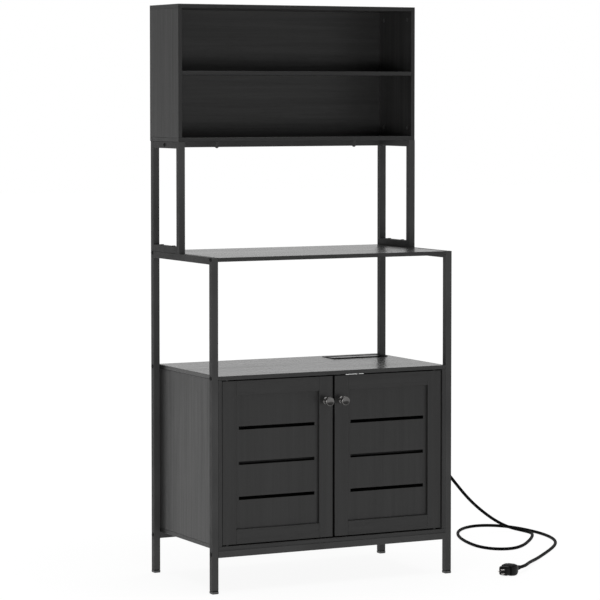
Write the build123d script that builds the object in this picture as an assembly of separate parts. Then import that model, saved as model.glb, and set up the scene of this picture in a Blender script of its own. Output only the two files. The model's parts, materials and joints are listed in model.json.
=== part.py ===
from build123d import *
import os
from math import pi, radians, tan

# Kitchen rack: steel frame, two-door cabinet, worktop with outlets, shelf and open hutch.
# Millimetres. +X right, +Y back, +Z up. Origin at the floor, under the middle of the rack.

# Steel frame
frame_width = 797.0
frame_depth = 430.0
tube = 20.0
tube_wall = 1.2
tube_corner = 1.5
end_plate = 1.5
leg_cap_height = 10.0
leg_cap_corner = 2.5
leg_cap_neck = 2.0
leg_cap_neck_inset = 1.0
leg_spigot_height = 16.0
leg_spigot_clearance = 0.1
bottom_rail_height = 105.0
shelf_height = 975.0
upper_frame_depth = 204.0
upper_frame_height = 330.0
ring_bolt_spacing = 84.0

# Boards
board = 12.0
board_edge = 0.6
back_sheet = 3.0
sheet_groove = 5.0
sheet_clearance = 0.1
counter_height = 632.0
hutch_height = 406.0
hutch_depth = 202.0
cabinet_back_inset = 7.0
cabinet_shelf_setback = 50.0
cabinet_shelf_clearance = 0.5
cabinet_shelf_share = 0.48
shelf_pin_radius = 2.5
shelf_pin_reach = 10.0
shelf_pin_depth = 8.0
shelf_pin_inset = 40.0

# Doors
door_setback = 4.0
door_thickness = 16.0
door_side_gap = 2.5
door_end_gap = 3.0
door_centre_gap = 7.0
door_edge = 0.8
stile_width = 45.0
door_rail_width = 43.0
panel_thickness = 6.0
panel_recess = 8.0
panel_tongue = 5.0
panel_clearance = 0.1
slot_count = 3
slot_height = 10.0
slot_pitch = 102.5
slot_drop = 3.5
slot_margin = 11.5

# Door pivots
pivot_inset = 18.0
pivot_pin_radius = 3.0
pivot_pin_reach = 12.0
pivot_pin_set = 8.0
pivot_running_clearance = 0.05
bush_radius = 5.0
bush_length = 14.0
bush_flange_radius = 6.5
bush_flange = 1.0
collar_radius = 6.0
collar_gap = 0.3

# Knobs
knob_drop = 72.5
knob_length = 28.0
knob_radius = 14.0
knob_rim = 4.0
knob_dish = 2.0
knob_crown = 0.84
knob_neck_radius = 5.5
knob_base_radius = 11.0
knob_base = 4.5
knob_base_edge = 2.0
knob_screw_radius = 2.0
knob_screw_head = 4.0
knob_screw_head_height = 2.0
knob_screw_reach = 12.0
screw_clearance = 0.1

# Door catch
catch_start = 41.0
catch_length = 60.0
catch_plate = 2.0
catch_plate_setback = 6.0
catch_notch = 4.5
catch_notch_at = 39.0
catch_notch_depth = 14.0
catch_block_margin = 5.0
catch_block_depth = 18.0
catch_block_height = 12.0
catch_block_edge = 1.5
strike_plate = 1.5
strike_height = 12.0
strike_gap = 0.3

# Bolts
bolt_radius = 3.0
bolt_head_radius = 5.75
bolt_head_height = 2.0
bolt_reach = 22.0
bolt_clearance = 0.1
bolt_socket_radius = 2.0
bolt_socket_depth = 1.2
hutch_bolt_reach = 19.0
ring_bolt_reach = 38.0

# Joint cams
cam_radius = 6.0
cam_depth = 9.0
cam_proud = 0.3
cam_end_distance = 25.0
cam_edge_distance = 27.0
cam_front_distance = 54.0
cam_clearance = 0.1
cam_cross_width = 1.4
cam_cross_depth = 1.0

# Outlet module
outlet_side_distance = 21.5
outlet_back_distance = 69.0
outlet_length = 190.0
outlet_width = 82.0
outlet_corner = 4.0
outlet_lip = 5.0
outlet_lip_height = 2.0
outlet_clearance = 0.5
outlet_rebate_clearance = 0.2
outlet_rim_edge = 0.5
outlet_wall = 2.0
outlet_depth = 45.0
outlet_face = 3.0
outlet_face_sink = 0.6
outlet_face_clearance = 0.2
socket_pitch = 58.0
socket_first = 32.0
blade_spacing = 12.7
blade_slot_long = 7.4
blade_slot_short = 6.6
blade_slot_width = 2.2
ground_offset = 11.9
ground_slot_radius = 2.7
usb_width = 13.0
usb_height = 5.6
usb_pitch = 22.0
usb_from_end = 30.0
usb_shell = 0.5
usb_depth = 9.0

# Cord gland through the cabinet back
gland_from_end = 27.0
gland_drop = 29.0
gland_radius = 7.0
gland_flange_radius = 9.0
gland_flange = 2.5
gland_hole_clearance = 0.5
gland_tail = 13.5
gland_tail_radius = 6.2

# Cord and plug
cord_radius = 5.0
cord_floor_gap = 0.25
cord_bend_share = 0.45
plug_boot_length = 28.0
plug_boot_radius = 6.4
plug_boot_root_radius = 10.0
plug_grip_length = 40.0
plug_body_width = 44.0
plug_body_height = 34.0
plug_body_corner = 6.0
plug_waist = 0.7
plug_widest_share = 0.5
plug_shoulder = 0.9
plug_nose_length = 17.0
plug_nose_width = 31.0
plug_nose_height = 27.0
blade_length = 16.5
blade_width = 6.35
blade_thickness = 1.5
blade_tip_edge = 0.45
ground_length = 19.5
ground_radius = 2.4
ground_tip_edge = 1.7
prong_seat = 5.0

# Places that follow from the sizes above
half_width = frame_width / 2
knob_proud = knob_length - door_setback
overall_depth = knob_proud + frame_depth + back_sheet
front = -overall_depth / 2 + knob_proud
back = front + frame_depth
inner_x = half_width - tube
cabinet_bottom = bottom_rail_height + tube
cabinet_floor = cabinet_bottom + board
counter_under = counter_height - board
side_inner_x = inner_x - board
back_sheet_y = back - cabinet_back_inset - back_sheet
upper_front = back - upper_frame_depth
upper_top = shelf_height + upper_frame_height
hutch_front = back - hutch_depth
hutch_floor = upper_top + board
hutch_top = upper_top + hutch_height
hutch_ceiling = hutch_top - board
hutch_inner_x = half_width - board
hutch_shelf_z = (hutch_floor + hutch_ceiling - board) / 2
door_front = front + door_setback
door_back = door_front + door_thickness
door_outer_x = side_inner_x - door_side_gap
door_inner_x = door_centre_gap / 2
door_low = cabinet_floor + door_end_gap
door_high = counter_under - door_end_gap
opening_outer_x = door_outer_x - stile_width
opening_inner_x = door_inner_x + stile_width
opening_low = door_low + door_rail_width
opening_high = door_high - door_rail_width
panel_front = door_front + panel_recess
pivot_x = door_outer_x - pivot_inset
pivot_y = door_front + door_thickness / 2
knob_x = (door_inner_x + opening_inner_x) / 2
knob_height = door_high - knob_drop
slot_middle = (opening_low + opening_high) / 2 - slot_drop
rail_centre_z = bottom_rail_height + tube / 2
outlet_x = inner_x - outlet_side_distance - outlet_length / 2
outlet_y = back - outlet_back_distance
gland_x = outlet_x + outlet_length / 2 - gland_from_end
gland_z = counter_height - gland_drop
box_back_y = outlet_y + outlet_width / 2 - outlet_lip
cord_start_y = back + gland_tail

# Free cord from the gland to the plug: falls behind the cabinet, then lies in one loop on the floor.
# Each point is its distance to the right of the gland's mouth, behind it, and above the floor.
cord_on_floor = cord_radius + cord_floor_gap
plug_axis_z = plug_body_height / 2
cord_route = [
    (0.0, 0.0, gland_z),
    (0.0, 28.0, gland_z),
    (8.0, 56.0, 593.0),
    (27.0, 78.0, 571.0),
    (64.0, 86.0, 531.0),
    (120.0, 88.0, 472.0),
    (189.0, 89.0, 403.0),
    (266.0, 94.0, 330.0),
    (341.0, 105.0, 258.0),
    (409.0, 123.0, 187.0),
    (474.0, 143.0, 124.0),
    (537.0, 161.0, 76.0),
    (597.0, 170.0, 37.0),
    (645.0, 162.0, 13.0),
    (677.0, 128.0, cord_on_floor),
    (679.0, 75.0, cord_on_floor),
    (641.0, 12.0, cord_on_floor),
    (582.0, -61.0, cord_on_floor),
    (518.0, -130.0, cord_on_floor),
    (456.0, -169.0, cord_on_floor),
    (402.0, -152.0, cord_on_floor),
    (378.0, -91.0, cord_on_floor),
    (389.0, 2.0, cord_on_floor),
    (419.0, 107.0, cord_on_floor),
    (468.0, 202.0, cord_on_floor),
    (531.0, 268.0, cord_on_floor),
    (594.0, 292.0, cord_on_floor),
    (649.0, 270.0, cord_on_floor),
    (685.0, 211.0, cord_on_floor),
    (700.0, 128.0, cord_on_floor),
    (699.0, 36.0, cord_on_floor),
    (681.0, -47.0, cord_on_floor),
    (651.0, -114.0, cord_on_floor),
    (610.0, -172.0, cord_on_floor),
    (560.0, -228.0, cord_on_floor),
    (498.0, -291.0, cord_on_floor),
    (423.0, -364.0, cord_on_floor),
    (344.0, -446.0, plug_axis_z - 5.0),
    (282.0, -521.0, plug_axis_z),
    (255.0, -533.0, plug_axis_z),
]
cord_points = [(gland_x + right, cord_start_y + behind, z) for right, behind, z in cord_route]


def slab(x0, x1, y0, y1, z0, z1):
    centre = ((x0 + x1) / 2, (y0 + y1) / 2, (z0 + z1) / 2)
    return Pos(*centre) * Box(x1 - x0, y1 - y0, z1 - z0)


def rod(radius, start, end):
    axis = Vector(*end) - Vector(*start)
    plane = Plane(origin=start, z_dir=axis)
    bar = Cylinder(radius, axis.length, align=(Align.CENTER, Align.CENTER, Align.MIN))
    return plane.location * bar


def panel(x0, x1, y0, y1, z0, z1, edge=board_edge):
    body = slab(x0, x1, y0, y1, z0, z1)
    return chamfer(body.edges(), edge)


def square_tube(x0, x1, y0, y1, z0, z1, axis, closed_top=False):
    # Square steel tube, open at both ends unless its top is closed by a welded plate.
    outer = fillet(slab(x0, x1, y0, y1, z0, z1).edges().filter_by(axis), tube_corner)
    wall_x, wall_y, wall_z = [0 if along == axis else tube_wall for along in (Axis.X, Axis.Y, Axis.Z)]
    wall_top = end_plate if closed_top else wall_z
    return outer - slab(x0 + wall_x, x1 - wall_x, y0 + wall_y, y1 - wall_y, z0 + wall_z, z1 - wall_top)


def mirrored(shape):
    return mirror(shape, about=Plane.YZ)


def save(shape, name):
    export_step(shape, "parts/" + name + ".step")


def side_bolt_places():
    # Bolts through the posts along X: into the cross rails, the worktop and the shelf.
    corner_y = (front + tube / 2, back - tube / 2)
    rails = [(y, rail_centre_z) for y in corner_y]
    counter = [(y, counter_height - board / 2) for y in corner_y]
    shelf = [(y, shelf_height - board / 2) for y in corner_y]
    return rails, counter, shelf


def ring_bolt_places():
    middle = (upper_front + back) / 2
    return [middle - ring_bolt_spacing / 2, middle + ring_bolt_spacing / 2]


def bolt_group(places, face_x, reach):
    bolts = []
    for y, z in places:
        for side in (1, -1):
            head = rod(bolt_head_radius, (side * face_x, y, z), (side * (face_x + bolt_head_height), y, z))
            rim = head.edges().sort_by(Axis.X)[-1 if side > 0 else 0]
            head = fillet(rim, bolt_head_height / 2)
            outer = side * (face_x + bolt_head_height)
            head -= rod(bolt_socket_radius, (outer, y, z), (outer - side * bolt_socket_depth, y, z))
            bolts.append(head + rod(bolt_radius, (side * face_x, y, z), (side * (face_x - reach), y, z)))
    return bolts


def bolt_holes(places, face_x, reach):
    radius = bolt_radius + bolt_clearance
    depth = reach + bolt_clearance
    holes = []
    for y, z in places:
        for side in (1, -1):
            holes.append(rod(radius, (side * face_x, y, z), (side * (face_x - depth), y, z)))
    return holes


def build_frame():
    rails, counter, shelf = side_bolt_places()
    reach = tube + bolt_reach
    holes = bolt_holes(rails + counter + shelf, half_width, reach)
    ring_y = ring_bolt_places()
    ring_axis_x = half_width - tube / 2
    ring_holes = []
    for y in ring_y:
        top = (ring_axis_x, y, shelf_height + tube + bolt_clearance)
        low = (ring_axis_x, y, shelf_height + tube - ring_bolt_reach - bolt_clearance)
        ring_holes.append(rod(bolt_radius + bolt_clearance, top, low))
    hutch_y = (upper_front + back) / 2
    hutch_z = upper_top - tube / 2
    hutch_holes = bolt_holes([(hutch_y, hutch_z)], half_width, hutch_bolt_reach)

    front_post = square_tube(inner_x, half_width, front, front + tube, leg_cap_height, shelf_height,
                             Axis.Z, closed_top=True) - holes
    back_post = square_tube(inner_x, half_width, back - tube, back, leg_cap_height, shelf_height,
                            Axis.Z, closed_top=True) - holes
    shelf_rail = square_tube(inner_x, half_width, front + tube, back - tube, shelf_height - tube,
                             shelf_height, Axis.Y) - ring_holes
    upper_front_post = square_tube(inner_x, half_width, upper_front, upper_front + tube,
                                   shelf_height, upper_top, Axis.Z)
    upper_back_post = square_tube(inner_x, half_width, back - tube, back, shelf_height, upper_top, Axis.Z)
    upper_low_rail = square_tube(inner_x, half_width, upper_front + tube, back - tube, shelf_height,
                                 shelf_height + tube, Axis.Y) - ring_holes
    upper_top_rail = square_tube(inner_x, half_width, upper_front + tube, back - tube,
                                 upper_top - tube, upper_top, Axis.Y) - hutch_holes
    sides = {
        "front_post": front_post, "back_post": back_post, "shelf_rail": shelf_rail,
        "upper_front_post": upper_front_post, "upper_back_post": upper_back_post,
        "upper_low_rail": upper_low_rail, "upper_top_rail": upper_top_rail,
    }
    for name, shape in sides.items():
        save(shape, "right_" + name)
        save(mirrored(shape), "left_" + name)

    for name, y0 in (("front_cross_rail", front), ("rear_cross_rail", back - tube)):
        rail = square_tube(-inner_x, inner_x, y0, y0 + tube, bottom_rail_height, cabinet_bottom, Axis.X)
        # Welded end plates take the bolts.
        for side in (1, -1):
            rail += slab(min(side * inner_x, side * (inner_x - end_plate)),
                         max(side * inner_x, side * (inner_x - end_plate)),
                         y0 + tube_wall, y0 + tube - tube_wall,
                         bottom_rail_height + tube_wall, cabinet_bottom - tube_wall)
        save(rail - holes, name)
    save(square_tube(-inner_x, inner_x, back - tube, back, upper_top - tube, upper_top, Axis.X),
         "rear_top_rail")

    bolts = bolt_group(rails + counter + shelf, half_width, reach)
    bolts += bolt_group([(hutch_y, hutch_z)], half_width, hutch_bolt_reach)
    for side in (1, -1):
        for y in ring_y:
            x = side * ring_axis_x
            base = shelf_height + tube
            head = rod(bolt_head_radius, (x, y, base), (x, y, base + bolt_head_height))
            head = fillet(head.edges().sort_by(Axis.Z)[-1], bolt_head_height / 2)
            top = base + bolt_head_height
            head -= rod(bolt_socket_radius, (x, y, top), (x, y, top - bolt_socket_depth))
            bolts.append(head + rod(bolt_radius, (x, y, base), (x, y, base - ring_bolt_reach)))
    save(Compound(bolts), "frame_bolts")
    return holes


def build_leg_caps():
    # A foot with a narrower neck under the tube's end, and a spigot inside the tube.
    caps = []
    inside = tube_wall + leg_spigot_clearance
    shoulder = leg_cap_height - leg_cap_neck
    for x0 in (-half_width, inner_x):
        for y0 in (front, back - tube):
            cap = slab(x0, x0 + tube, y0, y0 + tube, 0, shoulder)
            cap = fillet(cap.edges().group_by(Axis.Z)[0], leg_cap_corner)
            cap += slab(x0 + leg_cap_neck_inset, x0 + tube - leg_cap_neck_inset,
                        y0 + leg_cap_neck_inset, y0 + tube - leg_cap_neck_inset, shoulder, leg_cap_height)
            spigot = slab(x0 + inside, x0 + tube - inside, y0 + inside, y0 + tube - inside,
                          leg_cap_height, leg_cap_height + leg_spigot_height)
            caps.append(cap + spigot)
    save(Compound(caps), "leg_caps")


def pivot_places():
    return [(side * pivot_x, pivot_y) for side in (1, -1)]


def build_cabinet(bolt_bores):
    # The worktop and the cabinet floor lie between the posts and carry the door pivots.
    pin_bore = pivot_pin_radius
    top = panel(-inner_x, inner_x, front, back, counter_under, counter_height) - bolt_bores
    floor = panel(-inner_x, inner_x, front, back, cabinet_bottom, cabinet_floor)
    for x, y in pivot_places():
        top -= rod(pin_bore, (x, y, counter_under), (x, y, counter_under + pivot_pin_set))
        floor -= rod(pin_bore, (x, y, cabinet_floor), (x, y, cabinet_floor - pivot_pin_set))
    top -= outlet_footprint(outlet_clearance - outlet_lip, counter_under, counter_height)
    rebate = outlet_footprint(outlet_rebate_clearance, counter_height - outlet_lip_height, counter_height)
    top -= fillet(rebate.edges().filter_by(Axis.Z), outlet_corner)
    save(top, "worktop")
    save(floor, "cabinet_floor")

    pin_z = cabinet_floor + (counter_under - cabinet_floor) * cabinet_shelf_share - shelf_pin_radius
    pin_y = (front + cabinet_shelf_setback + shelf_pin_inset, back_sheet_y - shelf_pin_inset)
    side = panel(side_inner_x, inner_x, front, back, cabinet_floor, counter_under)
    side -= slab(side_inner_x, side_inner_x + sheet_groove, back_sheet_y - sheet_clearance,
                 back_sheet_y + back_sheet + sheet_clearance, cabinet_floor, counter_under)
    pins = []
    for y in pin_y:
        deep = side_inner_x + shelf_pin_depth
        side -= rod(shelf_pin_radius, (side_inner_x, y, pin_z), (deep, y, pin_z))
        pin = rod(shelf_pin_radius, (side_inner_x - shelf_pin_reach, y, pin_z), (deep, y, pin_z))
        pins += [pin, mirrored(pin)]
    cams, cam_bores = cam_row(side_inner_x, (front + cam_front_distance, back_sheet_y - cam_edge_distance),
                              (cabinet_floor + cam_end_distance, counter_under - cam_end_distance))
    side -= cam_bores
    save(side, "right_cabinet_side")
    save(mirrored(side), "left_cabinet_side")
    save(Compound(pins), "cabinet_shelf_pins")

    sheet_half = side_inner_x + sheet_groove - sheet_clearance
    sheet = slab(-sheet_half, sheet_half, back_sheet_y, back_sheet_y + back_sheet,
                 cabinet_floor, counter_under)
    sheet -= rod(gland_radius + gland_hole_clearance, (gland_x, back_sheet_y - 1, gland_z),
                 (gland_x, back_sheet_y + back_sheet + 1, gland_z))
    save(sheet, "cabinet_back")

    shelf_half = side_inner_x - cabinet_shelf_clearance
    shelf_low = pin_z + shelf_pin_radius
    save(panel(-shelf_half, shelf_half, front + cabinet_shelf_setback,
               back_sheet_y - cabinet_shelf_clearance, shelf_low, shelf_low + board), "cabinet_shelf")
    return cams


def cam_row(face_x, ys, zs):
    # Round joint cams let into the inner face of an upright board, with a cross slot.
    cams = []
    bores = []
    for y in ys:
        for z in zs:
            proud = face_x - cam_proud
            cam = rod(cam_radius, (proud, y, z), (face_x + cam_depth, y, z))
            for wide, tall in ((cam_radius, cam_cross_width), (cam_cross_width, cam_radius)):
                cam -= slab(proud, proud + cam_cross_depth, y - wide / 2, y + wide / 2,
                            z - tall / 2, z + tall / 2)
            cams.append(cam)
            bores.append(rod(cam_radius + cam_clearance, (face_x, y, z),
                             (face_x + cam_depth + cam_clearance, y, z)))
    return cams, bores


def build_shelves_and_hutch(bolt_bores, cabinet_cams):
    save(panel(-inner_x, inner_x, front, back, shelf_height - board, shelf_height) - bolt_bores,
         "middle_shelf")
    save(panel(-half_width, half_width, hutch_front, back, upper_top, hutch_floor), "hutch_floor")
    save(panel(-half_width, half_width, hutch_front, back, hutch_ceiling, hutch_top), "hutch_top")
    side = panel(hutch_inner_x, half_width, hutch_front, back, hutch_floor, hutch_ceiling)
    cams, bores = cam_row(hutch_inner_x, (hutch_front + cam_edge_distance, back - cam_edge_distance),
                          (hutch_floor + cam_end_distance, hutch_ceiling - cam_end_distance))
    side -= bores
    save(side, "right_hutch_side")
    save(mirrored(side), "left_hutch_side")
    cams += cabinet_cams
    save(Compound(cams + [mirrored(cam) for cam in cams]), "board_cams")
    save(panel(-hutch_inner_x, hutch_inner_x, hutch_front, back, hutch_shelf_z, hutch_shelf_z + board),
         "hutch_shelf")
    save(slab(-half_width, half_width, back, back + back_sheet, upper_top, hutch_top), "hutch_back")


def door_board(x0, x1, z0, z1):
    return panel(x0, x1, door_front, door_back, z0, z1, door_edge)


def build_doors():
    groove = panel_tongue + panel_clearance
    panel_back = panel_front + panel_thickness
    cut = slab(opening_inner_x - groove, opening_outer_x + groove,
               panel_front - panel_clearance, panel_back + panel_clearance,
               opening_low - groove, opening_high + groove)
    screw = rod(knob_screw_radius + screw_clearance, (knob_x, door_front, knob_height),
                (knob_x, door_back, knob_height))
    inner = door_board(door_inner_x, opening_inner_x, door_low, door_high)
    outer = door_board(opening_outer_x, door_outer_x, door_low, door_high)
    for z, up in ((door_high, -1), (door_low, 1)):
        outer -= rod(bush_radius, (pivot_x, pivot_y, z), (pivot_x, pivot_y, z + up * bush_length))
    low = door_board(opening_inner_x, opening_outer_x, door_low, opening_low)
    high = door_board(opening_inner_x, opening_outer_x, opening_high, door_high)
    field = slab(opening_inner_x - panel_tongue, opening_outer_x + panel_tongue, panel_front, panel_back,
                 opening_low - panel_tongue, opening_high + panel_tongue)
    for index in range(slot_count):
        z = slot_middle + (index - (slot_count - 1) / 2) * slot_pitch
        field -= slab(opening_inner_x + slot_margin, opening_outer_x - slot_margin,
                      panel_front, panel_back, z - slot_height / 2, z + slot_height / 2)
    pieces = {
        "inner_stile": inner - cut - screw, "outer_stile": outer - cut,
        "low_rail": low - cut, "top_rail": high - cut, "slotted_panel": field,
        "knob": Compound([build_knob(), build_knob_screw()]), "pivot_bushes": build_bushes(),
    }
    for name, shape in pieces.items():
        save(shape, "right_door_" + name)
        save(mirrored(shape), "left_door_" + name)


def build_knob():
    # Turned metal knob: round base, slim neck, wide head with a shallow dish.
    length = knob_length
    head = length - knob_rim
    bore = knob_screw_radius + screw_clearance
    brim = (knob_base_radius, knob_base - knob_base_edge)
    shoulder = (knob_base_radius - knob_base_edge, knob_base)
    neck = (knob_neck_radius, knob_base + knob_neck_radius)
    flare = (knob_radius, head)
    swell = ((knob_neck_radius * 2 + knob_radius) / 3, (neck[1] + head * 2) / 3)
    rim = (knob_radius, head + knob_rim / 2)
    crown = (knob_radius * knob_crown, length)
    middle = (bore, length - knob_dish)
    with BuildPart() as knob:
        with BuildSketch(Plane.XZ):
            with BuildLine():
                Polyline(middle, (bore, 0), (knob_base_radius, 0), brim, shoulder, neck)
                ThreePointArc(neck, swell, flare)
                Line(flare, rim)
                TangentArc(crown, rim, tangent=(1, 0))
                ThreePointArc(crown, (knob_radius * 0.4, length - knob_dish * 0.75), middle)
            make_face()
        revolve(axis=Axis.Z)
    core = rod(bore, (0, 0, knob_screw_reach), (0, 0, length - knob_dish))
    plane = Plane(origin=(knob_x, door_front, knob_height), z_dir=(0, -1, 0))
    return plane.location * (knob.part + core)


def build_knob_screw():
    shank = rod(knob_screw_radius, (knob_x, door_back, knob_height),
                (knob_x, door_front - knob_screw_reach, knob_height))
    head = rod(knob_screw_head, (knob_x, door_back, knob_height),
               (knob_x, door_back + knob_screw_head_height, knob_height))
    return shank + fillet(head.edges().sort_by(Axis.Y)[-1], knob_screw_head_height / 2)


def build_bushes():
    bushes = []
    bore = pivot_pin_radius + pivot_running_clearance
    for z, up in ((door_high, -1), (door_low, 1)):
        body = rod(bush_radius, (pivot_x, pivot_y, z), (pivot_x, pivot_y, z + up * bush_length))
        flange = rod(bush_flange_radius, (pivot_x, pivot_y, z), (pivot_x, pivot_y, z - up * bush_flange))
        hole = rod(bore, (pivot_x, pivot_y, z - up * bush_flange),
                   (pivot_x, pivot_y, z + up * (pivot_pin_reach + bush_flange)))
        bushes.append(body + flange - hole)
    return Compound(bushes)


def build_pivot_pins():
    # Steel pins set in the worktop and the cabinet floor; the lower ones carry a thrust collar.
    pins = []
    for x, y in pivot_places():
        pins.append(rod(pivot_pin_radius, (x, y, counter_under + pivot_pin_set),
                        (x, y, door_high - pivot_pin_reach)))
        low = rod(pivot_pin_radius, (x, y, cabinet_floor - pivot_pin_set),
                  (x, y, door_low + pivot_pin_reach))
        collar = rod(collar_radius, (x, y, cabinet_floor), (x, y, door_low - bush_flange - collar_gap))
        pins.append(low + collar)
    save(Compound(pins), "door_pivot_pins")


def build_catch():
    end = catch_start + catch_length
    plate_front = front + catch_plate_setback
    block_front = door_back + strike_plate + strike_gap
    block_back = block_front + catch_block_depth
    plate = slab(catch_start, end, plate_front, block_back, counter_under - catch_plate, counter_under)
    plate -= slab(catch_start + catch_notch_at, catch_start + catch_notch_at + catch_notch, plate_front,
                  plate_front + catch_notch_depth, counter_under - catch_plate, counter_under)
    save(plate, "catch_plate")
    low = counter_under - catch_plate - catch_block_height
    block = slab(catch_start + catch_block_margin, end - catch_block_margin, block_front, block_back,
                 low, counter_under - catch_plate)
    save(fillet(block.edges().group_by(Axis.Z)[0], catch_block_edge), "catch_magnet")
    strike = slab(catch_start + catch_block_margin * 2, end - catch_block_margin * 2, door_back,
                  door_back + strike_plate, low, low + strike_height - catch_plate)
    save(strike, "right_door_strike")


def outlet_footprint(grow, low, high):
    return slab(outlet_x - outlet_length / 2 - grow, outlet_x + outlet_length / 2 + grow,
                outlet_y - outlet_width / 2 - grow, outlet_y + outlet_width / 2 + grow, low, high)


def build_outlet():
    # Module let in flush with the worktop: rim, box under it, and a face plate with the sockets.
    x0 = outlet_x - outlet_length / 2
    x1 = outlet_x + outlet_length / 2
    y0 = outlet_y - outlet_width / 2
    y1 = outlet_y + outlet_width / 2
    lip_low = counter_height - outlet_lip_height
    inset = outlet_lip + outlet_wall
    bezel = outlet_footprint(0, lip_low, counter_height)
    bezel = fillet(bezel.edges().filter_by(Axis.Z), outlet_corner)
    bezel = chamfer(bezel.edges().group_by(Axis.Z)[-1], outlet_rim_edge)
    bezel -= slab(x0 + inset, x1 - inset, y0 + inset, y1 - inset, lip_low, counter_height)
    save(bezel, "outlet_bezel")

    floor_z = counter_height - outlet_depth
    box = slab(x0 + outlet_lip, x1 - outlet_lip, y0 + outlet_lip, y1 - outlet_lip, floor_z, lip_low)
    box -= slab(x0 + inset, x1 - inset, y0 + inset, y1 - inset, floor_z + outlet_wall, lip_low)
    box -= rod(gland_radius, (gland_x, box_back_y - outlet_wall, gland_z), (gland_x, box_back_y, gland_z))
    face_top = counter_height - outlet_face_sink
    face_low = face_top - outlet_face
    for x in (x0 + inset, x1 - inset - outlet_wall):
        # Ledges that the face plate is screwed down on
        box += slab(x, x + outlet_wall, y0 + inset, y1 - inset, floor_z + outlet_wall, face_low)
    save(box, "outlet_box")

    gap = outlet_face_clearance
    face = slab(x0 + inset + gap, x1 - inset - gap, y0 + inset + gap, y1 - inset - gap, face_low, face_top)
    for index in range(2):
        face -= socket_slots(x0 + inset + socket_first + index * socket_pitch, face_low, face_top)
    shells = []
    for side in (-1, 1):
        x = x1 - inset - usb_from_end
        y = outlet_y + side * usb_pitch / 2
        hole = slab(x - usb_width / 2, x + usb_width / 2, y - usb_height / 2, y + usb_height / 2,
                    face_low, face_top)
        face -= hole
        shell = slab(x - usb_width / 2, x + usb_width / 2, y - usb_height / 2, y + usb_height / 2,
                     face_top - usb_depth, face_top)
        shell -= slab(x - usb_width / 2 + usb_shell, x + usb_width / 2 - usb_shell,
                      y - usb_height / 2 + usb_shell, y + usb_height / 2 - usb_shell,
                      face_top - usb_depth + usb_shell, face_top)
        shells.append(shell)
    save(face, "outlet_face")
    save(Compound(shells), "usb_ports")


def socket_slots(x, low, high):
    # Three-hole mains socket: two blade slots and a round earth hole.
    middle = outlet_y - ground_offset / 2
    cuts = []
    for side, long in ((-1, blade_slot_long), (1, blade_slot_short)):
        centre = x + side * blade_spacing / 2
        cuts.append(slab(centre - blade_slot_width / 2, centre + blade_slot_width / 2,
                         middle + ground_offset - long / 2, middle + ground_offset + long / 2, low, high))
    cuts.append(rod(ground_slot_radius, (x, middle, low), (x, middle, high)))
    return cuts


def build_gland():
    # Flanged strain relief from the outlet box through the cabinet back to the cord.
    flange = rod(gland_flange_radius, (gland_x, box_back_y, gland_z),
                 (gland_x, box_back_y + gland_flange, gland_z))
    stem = rod(gland_radius, (gland_x, box_back_y - outlet_wall, gland_z), (gland_x, back, gland_z))
    wide = Plane(origin=(gland_x, back, gland_z), z_dir=(0, 1, 0))
    taper = wide.location * Cone(gland_radius, gland_tail_radius, gland_tail,
                                 align=(Align.CENTER, Align.CENTER, Align.MIN))
    save(flange + stem + taper, "cord_gland")


def cord_radii(points):
    # Each bend is as large as its two runs allow.
    radii = []
    for before, here, after in zip(points, points[1:], points[2:]):
        into = Vector(*here) - Vector(*before)
        out = Vector(*after) - Vector(*here)
        turn = radians(into.get_angle(out))
        radii.append(cord_bend_share * min(into.length, out.length) / tan(turn / 2))
    return radii


def build_cord():
    radii = cord_radii(cord_points)
    path = FilletPolyline(*cord_points, radius=radii)
    start = Vector(*cord_points[1]) - Vector(*cord_points[0])
    section = Plane(origin=cord_points[0], z_dir=start) * Circle(cord_radius)
    tube_solid = sweep(section, path=path)
    print("cord radii", [round(radius) for radius in radii])
    print("cord length", round(path.length, 1), "volume ratio",
          round(tube_solid.volume / (path.length * pi * cord_radius ** 2), 5))
    save(tube_solid, "cord")


def plug_location():
    last = cord_points[-1]
    before = cord_points[-2]
    direction = Vector(last[0] - before[0], last[1] - before[1], last[2] - before[2])
    return Plane(origin=last, x_dir=direction.cross(Vector(0, 0, 1)), z_dir=direction).location


def plug_ring(height, share):
    outline = RectangleRounded(plug_body_width * share, plug_body_height * share, plug_body_corner)
    return Plane.XY.offset(height) * outline


def build_plug():
    # Boot, flattened grip, narrower nose, and two blades with a longer round earth pin.
    where = plug_location()
    low = (Align.CENTER, Align.CENTER, Align.MIN)
    boot = Cone(plug_boot_radius, plug_boot_root_radius, plug_boot_length, align=low)
    nose_start = plug_boot_length + plug_grip_length
    end = nose_start + plug_nose_length
    widest = plug_boot_length + plug_grip_length * plug_widest_share
    rings = [plug_ring(plug_boot_length, plug_waist), plug_ring(widest, 1.0)]
    rings_to_nose = [plug_ring(widest, 1.0), plug_ring(nose_start, plug_shoulder)]
    nose = RectangleRounded(plug_nose_width, plug_nose_height, plug_body_corner)
    body = boot + loft(rings, ruled=True) + loft(rings_to_nose, ruled=True)
    body += extrude(Plane.XY.offset(nose_start) * nose, amount=plug_nose_length)
    seats = []
    prongs = []
    for side in (-1, 1):
        x = -ground_offset / 2
        y = side * blade_spacing / 2
        root = end - prong_seat
        blade = Pos(x, y, root) * Box(blade_width, blade_thickness, blade_length + prong_seat, align=low)
        seats.append(blade)
        tip = blade.edges().filter_by(Axis.X).group_by(Axis.Z)[-1]
        prongs.append(chamfer(tip, blade_tip_edge))
    pin = Pos(ground_offset / 2, 0, end - prong_seat) * Cylinder(
        ground_radius, ground_length + prong_seat, align=low)
    seats.append(pin)
    prongs.append(fillet(pin.edges().group_by(Axis.Z)[-1], ground_tip_edge))
    save(where * (body - seats), "plug_body")
    save(Compound([where * prong for prong in prongs]), "plug_prongs")


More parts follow.
